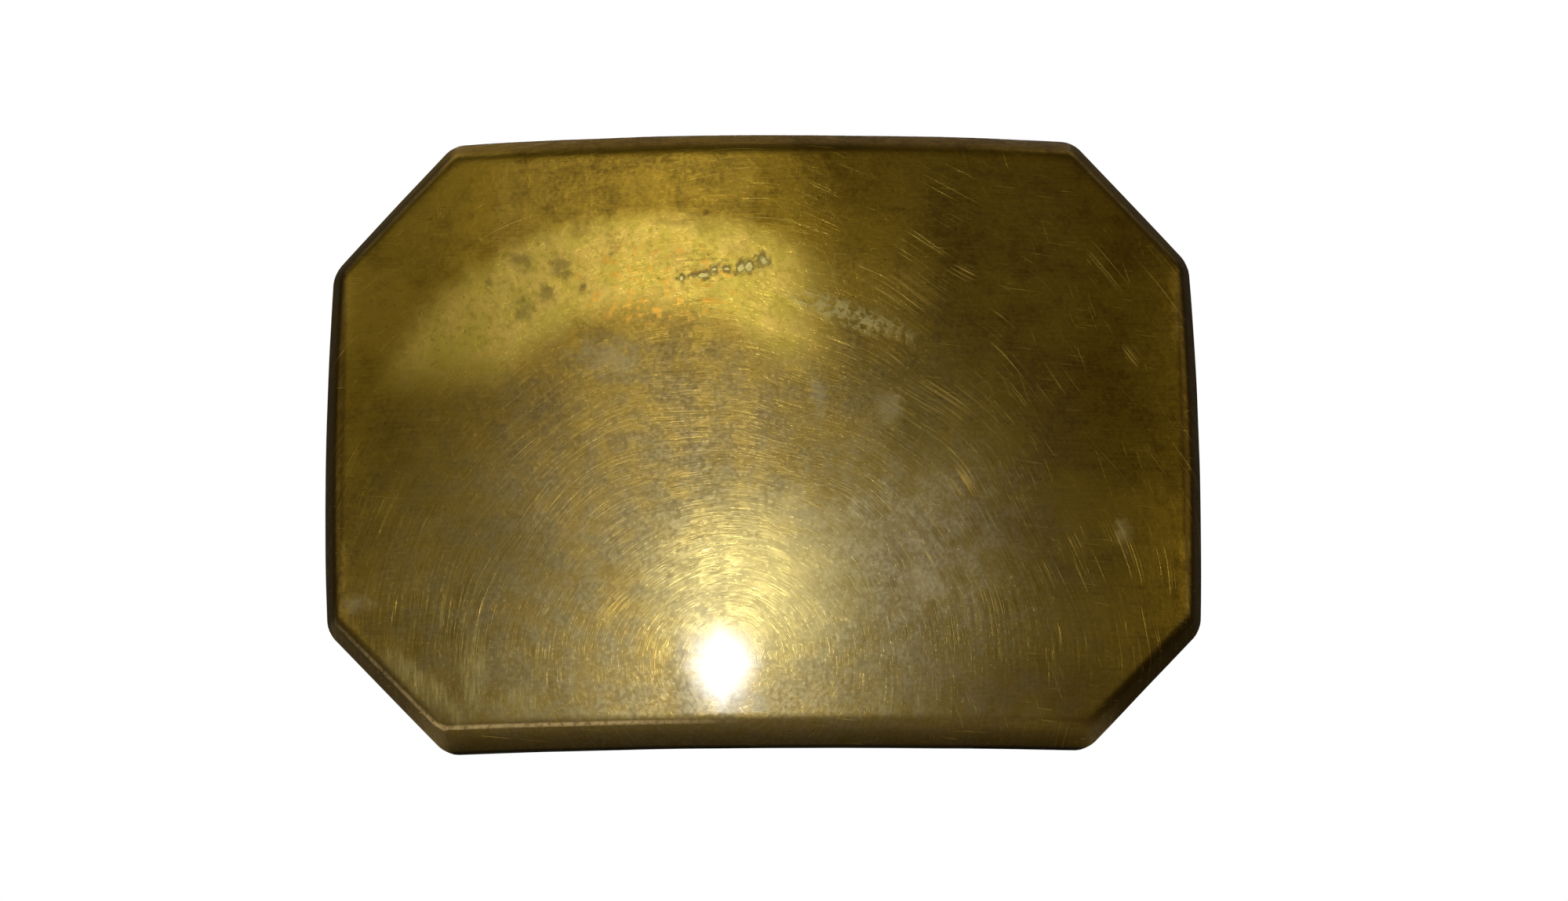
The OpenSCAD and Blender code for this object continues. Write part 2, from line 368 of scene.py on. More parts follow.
def swirls(arc, width, rarity):
    """Arc scratches about the swirl's centre: arc in noise cells a radian, width in millimetres."""
    aside = brass.add("SeparateXYZ", "X", {"Vector": heading})
    along = brass.add("SeparateXYZ", "Z", {"Vector": heading})
    cell = brass.add("CombineXYZ", "Vector", {"X": brass.times(aside, arc), "Y": brass.times(along, arc),
                                              "Z": brass.times(ring_place, 1 / width)})
    return brass.fade(brass.noise(cell, 1.0, 2, 0.5), rarity, rarity + 0.12)


patchy = brass.fade(brass.noise(place, 0.22, 3, 0.5), 0.42, 0.62)
fainter_below = brass.fade(upward, -27, -15, 0.30, 1.0)
fainter_outside = brass.fade(swirl_radius, 48, 14, 0.25, 1.0)
bold_swirl = brass.times(swirls(3.5, 0.09, 0.62), patchy, fainter_below)
fine_swirl = brass.times(swirls(3.0, 0.055, 0.50), fainter_outside, fainter_below)

# Groups of brighter copper-gold arcs, partly deeper buffing scratches and partly painted glints of the
# flash.
glint_groups = ((13.5, 13.1, 3.4, 1.8, 0), (16.6, 2.9, 4.0, 1.8, 0), (11.5, 7.1, 1.6, 0.9, 0),
               (18.4, -4.7, 1.2, 1.2, 0), (33.8, 7.6, 1.0, 1.2, 0), (-13.5, -17.1, 1.4, 2.8, 0),
               (-10.0, -20.5, 1.2, 2.4, 0), (18.3, 14.8, 1.4, 0.8, 0))
ragged = (1.4, 1.0, 2.2)
glinting_arcs = brass.times(swirls(2.6, 0.085, 0.54), brass.spots(place, glint_groups, *ragged))

straight = brass.most(brass.scratches(place, 6, 6, 0.07, 0.73), brass.scratches(place, -30, 8, 0.06, 0.75),
                      brass.scratches(place, 72, 7, 0.06, 0.75))

# A buffed ring left by an earlier cleaning, brightest at its upper left.
buffed = brass.length(brass.frame(place, (-10.5, 0, 2.5), (24, 1000, 17.5)))
buffed = brass.total(buffed, brass.times(brass.work("SUBTRACT", mottle, 0.5), 0.18))
buffed = brass.times(brass.fade(buffed, 0.46, 0.64), brass.fade(buffed, 1.09, 0.92),
                     brass.fade(upward, 3, 10), brass.fade(across, 9, -1))
blotches = brass.noise(place, 0.42, 5, 0.6)
grain = brass.noise(place, 1.7, 5, 0.72)

# Orange flecks, brown pits and freckles inside the ring.
flecks = brass.times(brass.fade(brass.noise(place, 1.1, 4, 0.65), 0.52, 0.64),
                     brass.spot(place, (-9.5, 14.0), (9, 4.6)))
pit_spots = ((-22.1, 16.6, 1.0, 0.9, 0), (-18.7, 15.9, 0.95, 0.95, 0), (-19.6, 13.3, 0.9, 0.9, 0),
             (-21.9, 11.8, 0.95, 0.95, 0), (-16.4, 13.8, 0.5, 0.5, 0), (-25.2, 14.6, 0.4, 0.4, 0),
             (-13.8, 16.9, 0.35, 0.35, 0))
pits = brass.spots(place, pit_spots, 5.0, 2.5, 4.2)
freckles = brass.times(brass.fade(brass.noise(place, 1.9, 2, 0.5), 0.68, 0.75), buffed)

# A chain of crusty blobs with a dark foot, and a strip of chalky green beside it.
crust_blobs = ((-7.4, 14.4, 0.32, 0.42, 0), (-5.6, 14.6, 1.0, 0.40, -12), (-4.3, 15.2, 0.8, 0.55, -30),
               (-3.2, 15.2, 0.5, 0.40, 0), (-2.0, 15.3, 0.42, 0.60, 20), (-1.2, 15.5, 0.42, 0.50, 0),
               (0.1, 15.9, 0.62, 0.66, 0))
crust = brass.spots(place, crust_blobs, 3.4, 2.1, 2.6)
crust_foot = brass.spots(place, crust_blobs, 3.4, 2.7, 3.4)
crust_rim = brass.times(crust_foot, brass.work("SUBTRACT", 1.0, crust),
                        brass.fade(brass.noise(place, 1.3, 3, 0.6), 0.42, 0.58, 0.15, 1.0))
chalk = brass.times(brass.spot(place, (8.0, 10.9), (5.6, 1.1), 19, 1.6, 1.3, 2.2),
                    brass.fade(brass.noise(place, 1.5, 4, 0.65), 0.42, 0.56))

# Grey finger smudges.
smudge_spots = ((5.0, 3.4, 0.7, 2.6, 0), (11.6, 2.3, 1.4, 1.6, 0), (32.8, -9.1, 0.7, 1.4, 0),
                (-37.1, -15.0, 1.3, 0.9, 0), (4.8, -9.1, 2.6, 2.0, 0), (14.0, -14.4, 2.2, 1.6, 0))
smudge = brass.most(brass.spot(place, (-13.8, 7.0), (3.8, 2.0), 10, 3.0, 1.6, 2.8),
                    brass.spots(place, smudge_spots, 4.0, 2.0, 3.4))

# Rubbed ridge at the top of the bevel, worn brightest low on the near side, and darkened brown at
# the ends as painted shade. The lower left corner is rubbed too, in upright strokes.
low_left = brass.times(brass.fade(upward, -14, -21), brass.fade(across, 0, -14))
ridge = brass.times(brass.fade(edge, 1.75, 1.95), brass.fade(edge, 2.30, 2.05),
                    brass.fade(brass.noise(place, 1.6, 5, 0.7), 0.32, 0.58, 0.15, 1.0), low_left)
ridge_end_shade = brass.times(brass.fade(edge, 1.4, 1.8), brass.fade(edge, 3.0, 2.3),
                          brass.most(brass.fade(across, -26, -31), brass.fade(across, 26, 31)),
                          brass.work("SUBTRACT", 1.0, low_left))
upright = brass.noise(brass.frame(place, (0, 0, 0), (0.22, 1, 2.2)), 1.0, 5, 0.65)
corner_rub = brass.most(brass.spot(place, (-26.2, -22.4), (1.3, 3.6), 0, 1.4, 1.0, 2.0),
                        brass.spot(place, (-31.0, -22.6), (5.4, 1.2), 41, 1.4, 1.0, 2.0),
                        brass.times(brass.spot(place, (-22, -24.6), (3.2, 1.6), 0, 1.4, 1.0, 2.0), 0.5))
corner_rub = brass.times(corner_rub, brass.fade(upright, 0.40, 0.62, 0.2, 1.0))
# The bevel band. The colour list below darkens it brown as painted shade, strongly below the top and
# lightly at the top.
bevel = brass.fade(edge, 2.9, 2.1)
# The outermost edge, the turned-down wall of the rim, is coloured near black as a painted shadow band along
# the outline.
rim_edge = brass.fade(edge, 0.25, 0.05)

# Tarnish in random clouds and specks, with painted shade darkening it towards the upper right and painted
# light lightening it at the upper left.
shaded_upper_right = brass.fade(brass.total(across, brass.times(upward, 1.5)), 14, 60)
lit_upper_left = brass.times(brass.fade(upward, 0, 20), brass.fade(across, 10, -10))
tarnish_and_painted_light = brass.total(brass.fade(clouds, 0.36, 0.66, 0.0, 0.40), brass.fade(mottle, 0.42, 0.66, 0.0, 0.30),
                      brass.fade(rolling, 0.45, 0.70, 0.0, 0.22), brass.times(shaded_upper_right, 0.28),
                      speckled(-0.13, 0.15), brass.times(lit_upper_left, -0.25))

# A grey film round the swirl's centre, where the flash highlight falls, partly real film and partly the
# painted grey haze of the flash; a pale haze beside it, a painted glow of the flash on that film; and a
# paler patch, partly rubbed almost clean and partly a painted highlight.
film_and_flash_haze = brass.times(brass.fade(swirl_radius, 44, 6), brass.fade(mottle, 0.30, 0.70, 0.45, 1.0))
haze_and_flash_glow = brass.times(brass.spot(place, (12, -11.5), (8.5, 6), -20, 2.0, 1.2, 3.0),
                   brass.fade(mottle, 0.35, 0.65, 0.4, 1.0))
# A paler gold patch round the swirl's centre, partly rubbed clean and partly a painted highlight that
# spreads the flash's glow upwards.
brighter_patch = brass.spot(place, (-1.2, -14.0), (10, 9), 0, 0.8, 0.4, 1.7)
scored = brass.most(brass.times(bold_swirl, 0.7), brass.times(straight, 0.5))
shine = brass.mix(brass.fade(blotches, 0.40, 0.60), bare_brass, green_brass)

# Painted light: the upper left is also warmed towards brighter brass.
colour = brass.mix(brass.times(lit_upper_left, 0.6), olive_brass, warm_brass)
colour = brass.mix(brass.work("MINIMUM", tarnish_and_painted_light, 0.92), colour, deep_tarnish)
# Painted flash haze: the colour is greyed and lightened round the swirl's centre and beside it.
colour = brass.layer(colour, film_and_flash_haze, speckled(0.88, 0.55), grey_film)
colour = brass.layer(colour, haze_and_flash_glow, speckled(0.44, 0.20), pale_haze_glow)
# In this list the swirl, scored and glinting-arc layers are partly painted glints, the bevel and ridge-end
# layers painted shade, and the rim edge a painted shadow.
for mask, share, over in ((brighter_patch, 0.78, pale_gold), (smudge, 0.35, grey_film), (buffed, 0.85, shine),
                          (buffed, brass.fade(grain, 0.46, 0.66, 0.0, 0.45), olive_brass),
                          (bevel, brass.fade(upward, 18, 25, 0.70, 0.15), bevel_shade_brown),
                          (ridge_end_shade, 0.80, bevel_shade_brown), (fine_swirl, 0.14, bare_brass),
                          (scored, 1.0, bare_brass), (glinting_arcs, 0.75, copper_gold),
                          (corner_rub, 0.50, pale_gold), (ridge, 0.65, pink_gold),
                          (flecks, 0.7, copper_stain), (chalk, 0.45, green_chalk),
                          (crust, 1.0, chalky_crust), (crust_rim, 0.7, deep_tarnish),
                          (brass.most(pits, freckles), 0.58, deep_tarnish), (rim_edge, 0.8, rim_shadow_black)):
    colour = brass.layer(colour, mask, share, over)

dull = brass.most(brass.times(pits, 0.4), crust_rim, brass.times(chalk, 0.5), brass.times(smudge, 0.3))
roughness = brass.total(brass.fade(mottle, 0.35, 0.65, 0.31, 0.38), brass.times(fine_swirl, -0.11),
                        brass.times(scored, -0.10), brass.times(dull, 0.20), brass.times(haze_and_flash_glow, 0.05),
                        brass.times(bevel, 0.06), speckled(-0.035, 0.035))
metallic = brass.work("SUBTRACT", 1.0, brass.times(dull, 0.55))
height = brass.total(brass.fade(mottle, 0.3, 0.7, -0.004, 0.004),
                     brass.fade(specks, 0.3, 0.7, -0.002, 0.002), brass.times(fine_swirl, -0.0035),
                     brass.times(bold_swirl, -0.006), brass.times(straight, -0.006),
                     brass.times(rolling, 0.003), brass.times(crust, 0.05), brass.times(chalk, 0.02))

# The brightest polish, at the swirl's centre, reaches furthest up and down and to each side.
brightest = brass.most(brass.spot(place, swirl_centre, (3.7, 1.0), 0, 0.8, 0.4, 2.0),
                       brass.spot(place, swirl_centre, (1.3, 4.3), 0, 0.8, 0.4, 2.0),
                       brass.fade(swirl_radius, 5.2, 1.0, 0.0, 0.7),
                       brass.fade(swirl_radius, 18, 5, 0.10, 0.22))
polish = brass.times(brightest, brass.work("SUBTRACT", 1.0, bevel))
polish_roughness = 0.08
brass.finish(face_plate, colour, roughness, metallic, height, polish, polish_roughness)

# Solder. A thin uneven line of soft solder, run round the turned-down rim and drawn up the
# edge of the backing sheet, dull grey with a brown skin of old flux.
solder_line = 0.00015
solder_inset = 0.00012
sheet_inset = 0.00025
solder_climb = 0.00030
solder_reach = 0.0009
solder_grey = (0.30, 0.28, 0.25, 1)
flux_brown = (0.14, 0.10, 0.06, 1)
dark_skin = (0.05, 0.045, 0.04, 1)


def face_outwards():
    """Turns every face of the closed mesh in edit mode outwards."""
    bpy.ops.mesh.select_all(action="SELECT")
    bpy.ops.mesh.normals_make_consistent(inside=False)


rim_solder = clipped_outline("rim_solder_bead", solder_inset, rim_depth)
bpy.ops.mesh.inset(thickness=sheet_inset - solder_inset, depth=0, use_even_offset=True)
bpy.ops.mesh.inset(thickness=solder_reach, depth=0, use_even_offset=True)
bpy.ops.mesh.delete(type="FACE")
bpy.ops.mesh.select_all(action="SELECT")
bpy.ops.mesh.extrude_region_move(TRANSFORM_OT_translate={"value": (0, solder_line, 0)})
face_outwards()
pick(rim_solder, "VERT", lambda vertex, middle: vertex.normal.y > 0.99)
bpy.ops.transform.translate(value=(0, solder_climb, 0))
bpy.ops.object.mode_set(mode="OBJECT")
solder_runs = bpy.data.textures.new("uneven solder", "CLOUDS")
solder_runs.noise_scale = 0.0035
finish_modifier(rim_solder, "DISPLACE", texture=solder_runs, strength=0.00016, mid_level=0.5,
                texture_coords="LOCAL")
bend_to_waist(rim_solder)
bpy.ops.object.shade_smooth_by_angle(angle=radians(50))
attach(rim_solder, "plate")
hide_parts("rim_solder")

solder = Finish("tarnished soft solder")
place = solder.millimetres((0, 0, plate_mid_z))
lumps = solder.noise(place, 0.5, 4, 0.6)
skin = solder.noise(place, 3.0, 4, 0.6)
colour = solder.mix(solder.fade(lumps, 0.40, 0.62), solder_grey, flux_brown)
colour = solder.mix(solder.fade(skin, 0.55, 0.75, 0, 0.6), colour, dark_skin)
solder.finish(rim_solder, colour, solder.fade(skin, 0.3, 0.7, 0.38, 0.62), 0.85,
              solder.total(solder.times(lumps, 0.05), solder.times(skin, 0.02)))

# Backing sheet. Flat brass sheet 1 mm thick, sheared to the outline of the face, bent with it
# and soldered to its rim. Its hidden side was never polished, so it has gone dark and streaky.
back_sheet = 0.0010
sheared_edge = 0.00012
rear_radius = bend_radius - rim_depth - solder_line - back_sheet
bend_axis_y = plate_lo.y + bend_radius
deep_brown = (0.085, 0.048, 0.016, 1)
rubbed_sheet = (0.42, 0.27, 0.075, 1)
flux_stain = (0.10, 0.075, 0.045, 1)
fresh_scratch = (0.62, 0.43, 0.14, 1)
edge_shadow_black = (0.012, 0.012, 0.020, 1)

back_plate = clipped_outline("back_plate_sheet", sheet_inset, rim_depth + solder_line)
cut_into_squares(back_plate, rim_depth + solder_line)
bpy.ops.mesh.select_all(action="SELECT")
bpy.ops.mesh.extrude_region_move(TRANSFORM_OT_translate={"value": (0, back_sheet, 0)})
face_outwards()
bpy.ops.object.mode_set(mode="OBJECT")
mark_from_edge(back_plate)
finish_modifier(back_plate, "BEVEL", width=sheared_edge, segments=2, limit_method="ANGLE",
                angle_limit=radians(40))
bend_to_waist(back_plate)
bpy.ops.object.shade_smooth_by_angle(angle=radians(50))
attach(back_plate, "plate")
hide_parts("back_plate")

sheet = Finish("dull brown backing sheet")
place = sheet.millimetres((0, 0, plate_mid_z))
edge = sheet.add("Attribute", "Fac", {}, attribute_name="from_edge")
clouds = sheet.noise(place, 0.09, 5, 0.6)
mottle = sheet.noise(place, 0.6, 6, 0.65)
streaks = sheet.noise(sheet.frame(place, (0, 0, 0), (8, 1, 0.16)), 1.0, 3, 0.6)
rubs = sheet.most(sheet.scratches(place, 12, 7, 0.10, 0.68),
                  sheet.scratches(place, -40, 8, 0.09, 0.72), sheet.scratches(place, 84, 6, 0.10, 0.72))
# The belt has rubbed a brighter band across the middle, and flux has stained the soldered edge.
belt_band = sheet.spot(place, (-6, 0), (34, 19), 0, 0.35, 0.7, 1.25)
stain = sheet.total(sheet.fade(edge, 4.5, 0.6),
                   sheet.times(sheet.fade(mottle, 0.4, 0.7), 0.5))
stain = sheet.fade(stain, 0.45, 1.1)
# The sheared outer edge is coloured bluish black as a painted shadow band along the outline.
outer_edge = sheet.fade(edge, 0.45, 0.2)
colour = sheet.mix(sheet.fade(clouds, 0.36, 0.64), rubbed_sheet, deep_brown)
colour = sheet.layer(colour, belt_band, sheet.fade(streaks, 0.35, 0.65, 0.25, 0.75), rubbed_sheet)
colour = sheet.mix(sheet.fade(mottle, 0.52, 0.72, 0.0, 0.6), colour, deep_brown)
colour = sheet.layer(colour, stain, 0.75, flux_stain)
colour = sheet.layer(colour, rubs, 0.55, fresh_scratch)
colour = sheet.mix(outer_edge, colour, edge_shadow_black)
roughness = sheet.total(sheet.fade(mottle, 0.35, 0.65, 0.34, 0.50), sheet.times(stain, 0.18),
                       sheet.times(rubs, -0.10))
metallic = sheet.work("SUBTRACT", 1.0, sheet.times(stain, 0.35))
height = sheet.total(sheet.times(mottle, 0.012), sheet.times(streaks, 0.006),
                    sheet.times(rubs, -0.008), sheet.times(stain, 0.01))
sheet.finish(back_plate, colour, roughness, metallic, height)

# Hinge strap. Brass strip 1 mm thick with a tongue at each end rolled into a knuckle, laid on
# the backing sheet and held by four rivets. The ends of the bail turn in the knuckles.
hinge_across = -0.023
hinge_angle = asin(hinge_across / rear_radius)
hinge_lift = 0.0026
strap_sheet = 0.0010
strap_height = 0.038
strap_width = 0.009
knuckle_height = 0.007
knuckle_radius = 0.0025
knuckle_wall = 0.00095
knuckle_turn = radians(292)
knuckle_steps = 26
leaf_corner = 0.0008
leaf_cuts = (0.0040, 0.0055, 0.0070)
edge_break = 0.00016


def bend_to_back(piece, angle):
    """Bends a flat fitting to the back of the sheet and sets it there, at an angle round the waist."""
    reach = [vertex.co.x for vertex in piece.data.vertices]
    finish_modifier(piece, "SIMPLE_DEFORM", deform_method="BEND", deform_axis="Z",
                    angle=(max(reach) - min(reach)) / rear_radius)
    set_on_back(piece, angle)


def set_on_back(piece, angle, lift=0.0, lean=0.0, up=0.0):
    """Sets a fitting on the bent sheet: lift stands it off the sheet, and lean tilts it sideways."""
    piece.matrix_world = (Matrix.Translation((0, bend_axis_y, plate_mid_z + up))
                          @ Matrix.Rotation(angle, 4, "Z")
                          @ Matrix.Translation((0, lift - rear_radius, 0)) @ Matrix.Rotation(-lean, 4, "Z"))
    bpy.ops.object.select_all(action="DESELECT")
    piece.select_set(True)
    bpy.context.view_layer.objects.active = piece
    bpy.ops.object.transform_apply(location=True, rotation=True, scale=True)


bpy.ops.object.select_all(action="DESELECT")
leaf_middle = (knuckle_radius + strap_width) / 2
bpy.ops.mesh.primitive_cube_add(size=1, location=(leaf_middle, strap_sheet / 2, 0),
                                scale=(strap_width - knuckle_radius, strap_sheet, strap_height))
hinge_strap = bpy.context.object
hinge_strap.name = "hinge_strap_rolled"
bpy.ops.object.transform_apply(location=True, rotation=True, scale=True)
bpy.ops.object.mode_set(mode="EDIT")
tongue_start = strap_height / 2 - knuckle_height
for cut in (-tongue_start, tongue_start):
    bpy.ops.mesh.select_all(action="SELECT")
    bpy.ops.mesh.bisect(plane_co=(0, 0, cut), plane_no=(0, 0, 1))
for cut in leaf_cuts:
    bpy.ops.mesh.select_all(action="SELECT")
    bpy.ops.mesh.bisect(plane_co=(cut, 0, 0), plane_no=(1, 0, 0))
pick(hinge_strap, "EDGE", lambda edge, middle: middle.x > strap_width - same_place
     and abs(middle.z) > strap_height / 2 - same_place)
bpy.ops.mesh.bevel(offset=leaf_corner, segments=4)
for end in (-1, 1):
    pick(hinge_strap, "FACE", lambda face, middle: middle.x < knuckle_radius + same_place
         and middle.z * end > tongue_start)
    bpy.ops.mesh.extrude_region_move(TRANSFORM_OT_translate={"value": (-knuckle_radius, 0, 0)})
    squeeze = knuckle_wall / strap_sheet
    bpy.ops.transform.resize(value=(1, squeeze, 1), center_override=(0, 0, 0))
    bpy.ops.transform.translate(value=(0, hinge_lift - knuckle_radius, 0))
    bpy.ops.mesh.spin(steps=knuckle_steps, angle=knuckle_turn, center=(0, hinge_lift, 0), axis=(0, 0, 1))
bpy.ops.mesh.select_all(action="SELECT")
bpy.ops.mesh.remove_doubles(threshold=same_place)
face_outwards()
bpy.ops.object.mode_set(mode="OBJECT")
finish_modifier(hinge_strap, "BEVEL", width=edge_break, segments=2, limit_method="ANGLE",
                angle_limit=radians(40))
bend_to_back(hinge_strap, hinge_angle)
bpy.ops.object.shade_smooth_by_angle(angle=radians(40))
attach(hinge_strap, "plate")
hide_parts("hinge_strap")


def handled_brass(name, centre, grain_turn, grain_length, fresh, dulled, dark_share, brighter_patch=None):
    """Old brass fitting: drawn lines along it, dulled brown in random patches and bright where it is
    handled.
    """
    metal = Finish(name)
    place = metal.millimetres(centre)
    clouds = metal.noise(place, 0.22, 5, 0.6)
    mottle = metal.noise(place, 1.1, 6, 0.65)
    lines = metal.noise(metal.frame(place, (0, 0, 0), (grain_length, 0.09, 0.09), grain_turn), 1.0, 3, 0.6)
    nicks = metal.most(metal.scratches(place, 20, 2.5, 0.08, 0.70),
                       metal.scratches(place, -55, 3.0, 0.07, 0.71))
    colour = metal.mix(metal.fade(clouds, 0.60 - dark_share, 0.80 - dark_share), fresh, dulled)
    colour = metal.mix(metal.fade(mottle, 0.50, 0.72, 0.0, 0.7), colour, dulled)
    if brighter_patch:
        colour = metal.layer(colour, brighter_patch(metal, place), metal.fade(mottle, 0.25, 0.60, 1.0, 0.6), fresh)
    colour = metal.layer(colour, nicks, 0.5, bare_brass)
    roughness = metal.total(metal.fade(mottle, 0.35, 0.65, 0.27, 0.44),
                           metal.times(nicks, -0.06))
    height = metal.total(metal.times(lines, 0.006), metal.times(mottle, 0.012),
                        metal.times(nicks, -0.010))
    return metal, colour, roughness, height


fitting_fresh = (0.66, 0.45, 0.14, 1)
fitting_dull = (0.16, 0.092, 0.025, 1)
hinge_place = (-0.0226, bend_axis_y - rear_radius + hinge_lift, plate_mid_z)


def knuckle_rub(metal, place):
    """The crowns of the knuckles are polished by the belt."""
    return metal.fade(metal.length(metal.frame(place, (-0.5, 1.5, 0), (1, 1, 1000))), 1.2, 2.4)


metal, colour, roughness, height = handled_brass("rolled strap brass", hinge_place, 90, 9, fitting_fresh,
                                                 fitting_dull, 0.06, knuckle_rub)
metal.finish(hinge_strap, colour, roughness, 1.0, height)

# Strap rivets. Four soft brass rivets with domed heads, closed by hand, so each head is a
# little out of round and dented, and dark round its foot, partly grime and partly painted shade.
rivet_fresh = (0.72, 0.50, 0.17, 1)
grime_and_shade_brown = (0.045, 0.030, 0.015, 1)
# From the flat head inside the shell to the dome outside, as radius and height in millimetres.
rivet_profile = ((1.70, -1.62), (1.70, -1.02), (1.00, -1.02), (1.00, 1.02), (1.66, 1.02), (1.70, 1.08),
                 (1.68, 1.17), (1.55, 1.35), (1.33, 1.53), (1.05, 1.69), (0.72, 1.82), (0.36, 1.90))
strap_rivet_heights = (-0.0155, -0.0055, 0.0055, 0.0155)
rivets_past_hinge = 0.0056
strap_rivet_angle = hinge_angle + rivets_past_hinge / rear_radius
strap_grip, pad_grip = 1.0, 1.2


def turned(name, profile, sides=32):
    """A solid of turning along y from (radius, height) steps in millimetres, left in object mode."""
    bpy.ops.object.select_all(action="DESELECT")
    first_radius, first_height = profile[0]
    bpy.ops.mesh.primitive_circle_add(vertices=sides, radius=first_radius / 1000, fill_type="NGON",
                                      rotation=(-pi / 2, 0, 0), location=(0, first_height / 1000, 0))
    piece = bpy.context.object
    piece.name = name
    bpy.ops.object.transform_apply(location=True, rotation=True, scale=True)
    bpy.ops.object.mode_set(mode="EDIT")
    bpy.ops.mesh.select_all(action="SELECT")
    for (radius, height), (next_radius, next_height) in zip(profile, profile[1:]):
        rise = (next_height - height) / 1000
        bpy.ops.mesh.extrude_region_move(TRANSFORM_OT_translate={"value": (0, rise, 0)})
        spread = next_radius / radius
        bpy.ops.transform.resize(value=(spread, 1, spread), center_override=(0, 0, 0))
    face_outwards()
    bpy.ops.object.mode_set(mode="OBJECT")
    return piece


def joined(name, solids):
    """Makes one piece of several solids."""
    bpy.ops.object.select_all(action="DESELECT")
    for solid in solids:
        solid.select_set(True)
    bpy.context.view_layer.objects.active = solids[0]
    bpy.ops.object.join()
    solids[0].name = name
    return solids[0]


def rivet_row(name, heights, angle, grip):
    """A row of rivets up the back, with hammered heads, for fittings of a given thickness."""
    hammer = bpy.data.textures.new("hammer marks", "CLOUDS")
    hammer.noise_scale = 0.0011
    profile = [(radius, height + (grip - strap_grip if height > 0 else 0))
               for radius, height in rivet_profile]
    rivets = []
    for up in heights:
        rivet = turned(name, profile)
        seat = rivet.data.attributes.new("from_seat", "FLOAT", "POINT")
        for vertex, value in zip(rivet.data.vertices, seat.data):
            value.value = 1000 * vertex.co.y - grip
        set_on_back(rivet, angle, 0, 0, up)
        finish_modifier(rivet, "DISPLACE", texture=hammer, strength=0.00009, mid_level=0.5,
                        texture_coords="LOCAL")
        rivets.append(rivet)
    row = joined(name, rivets)
    bpy.ops.object.shade_smooth_by_angle(angle=radians(50))
    return row


strap_rivets = rivet_row("strap_rivets_hammered", strap_rivet_heights, strap_rivet_angle, strap_grip)
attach(strap_rivets, "plate")
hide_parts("strap_rivets")


def rivet_finish(name, piece):
    """Bright on the crown, and dark round the foot of the head, partly grime and partly painted shade where
    the head meets the plate.
    """
    metal, colour, roughness, height = handled_brass(name, (0, 0, plate_mid_z), 0, 0.6, rivet_fresh,
                                                     fitting_dull, 0.02)
    seat = metal.add("Attribute", "Fac", {}, attribute_name="from_seat")
    seat_grime_and_shade = metal.fade(seat, 0.42, 0.08)
    colour = metal.mix(seat_grime_and_shade, colour, grime_and_shade_brown)
    metal.finish(piece, colour, metal.total(roughness, metal.times(seat_grime_and_shade, 0.2)), 1.0, height)


rivet_finish("strap rivet brass", strap_rivets)

# Bail. One length of hard brass wire 3 mm thick, bent square with round corners, its two ends
# turned in to the knuckles of the strap. The end of the belt is folded round its outer bar.
wire_radius = 0.0015
bail_reach = 0.0125
arm_height = 0.020 + wire_radius
outer_bend = 0.0040
inner_bend = 0.0022
pin_end = tongue_start
end_break = 0.0003
wire_fresh = (0.70, 0.48, 0.16, 1)

bpy.ops.object.select_all(action="DESELECT")
bpy.ops.mesh.primitive_circle_add(vertices=28, radius=wire_radius - end_break, fill_type="NGON",
                                  location=(0, 0, pin_end))
belt_bail = bpy.context.object
belt_bail.name = "belt_bail_wire"
bpy.ops.object.transform_apply(location=True, rotation=True, scale=True)
bpy.ops.object.mode_set(mode="EDIT")
bpy.ops.mesh.select_all(action="SELECT")
bpy.ops.mesh.extrude_region_move(TRANSFORM_OT_translate={"value": (0, 0, end_break)})
swell = wire_radius / (wire_radius - end_break)
bpy.ops.transform.resize(value=(swell, swell, 1), center_override=(0, 0, 0))


def draw_wire(length, direction, steps):
    for step in range(steps):
        bpy.ops.mesh.extrude_region_move(
            TRANSFORM_OT_translate={"value": tuple(length / steps * part for part in direction)})


draw_wire(arm_height - inner_bend - pin_end - end_break, (0, 0, 1), 4)
bpy.ops.mesh.spin(steps=10, angle=pi / 2, center=(-inner_bend, 0, arm_height - inner_bend), axis=(0, 1, 0))
draw_wire(bail_reach - inner_bend - outer_bend, (-1, 0, 0), 4)
bpy.ops.mesh.spin(steps=14, angle=pi / 2, center=(outer_bend - bail_reach, 0, arm_height - outer_bend),
                  axis=(0, 1, 0))
draw_wire(arm_height - outer_bend, (0, 0, -1), 9)
bpy.ops.mesh.delete(type="ONLY_FACE")
bpy.ops.object.mode_set(mode="OBJECT")
finish_modifier(belt_bail, "MIRROR", use_axis=(False, False, True), use_clip=True, merge_threshold=1e-5)
bpy.ops.object.mode_set(mode="EDIT")
bpy.ops.mesh.select_all(action="SELECT")
bpy.ops.mesh.remove_doubles(threshold=same_place)
face_outwards()
bpy.ops.object.mode_set(mode="OBJECT")
set_on_back(belt_bail, hinge_angle, hinge_lift)
bpy.ops.object.shade_smooth_by_angle(angle=radians(40))
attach(belt_bail, "bail")
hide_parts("belt_bail")


def bar_rub(metal, place):
    """The belt has polished the middle of the outer bar."""
    return metal.times(metal.fade(metal.add("SeparateXYZ", "X", {"Vector": place}), -9.0, -11.5),
                      metal.spot(place, (-12, 0), (8, 16), 0, 0.3, 0.7, 1.2))


metal, colour, roughness, height = handled_brass("drawn bail wire", hinge_place, 90, 14, wire_fresh,
                                                 fitting_dull, 0.04, bar_rub)
metal.finish(belt_bail, colour, roughness, 1.0, height)

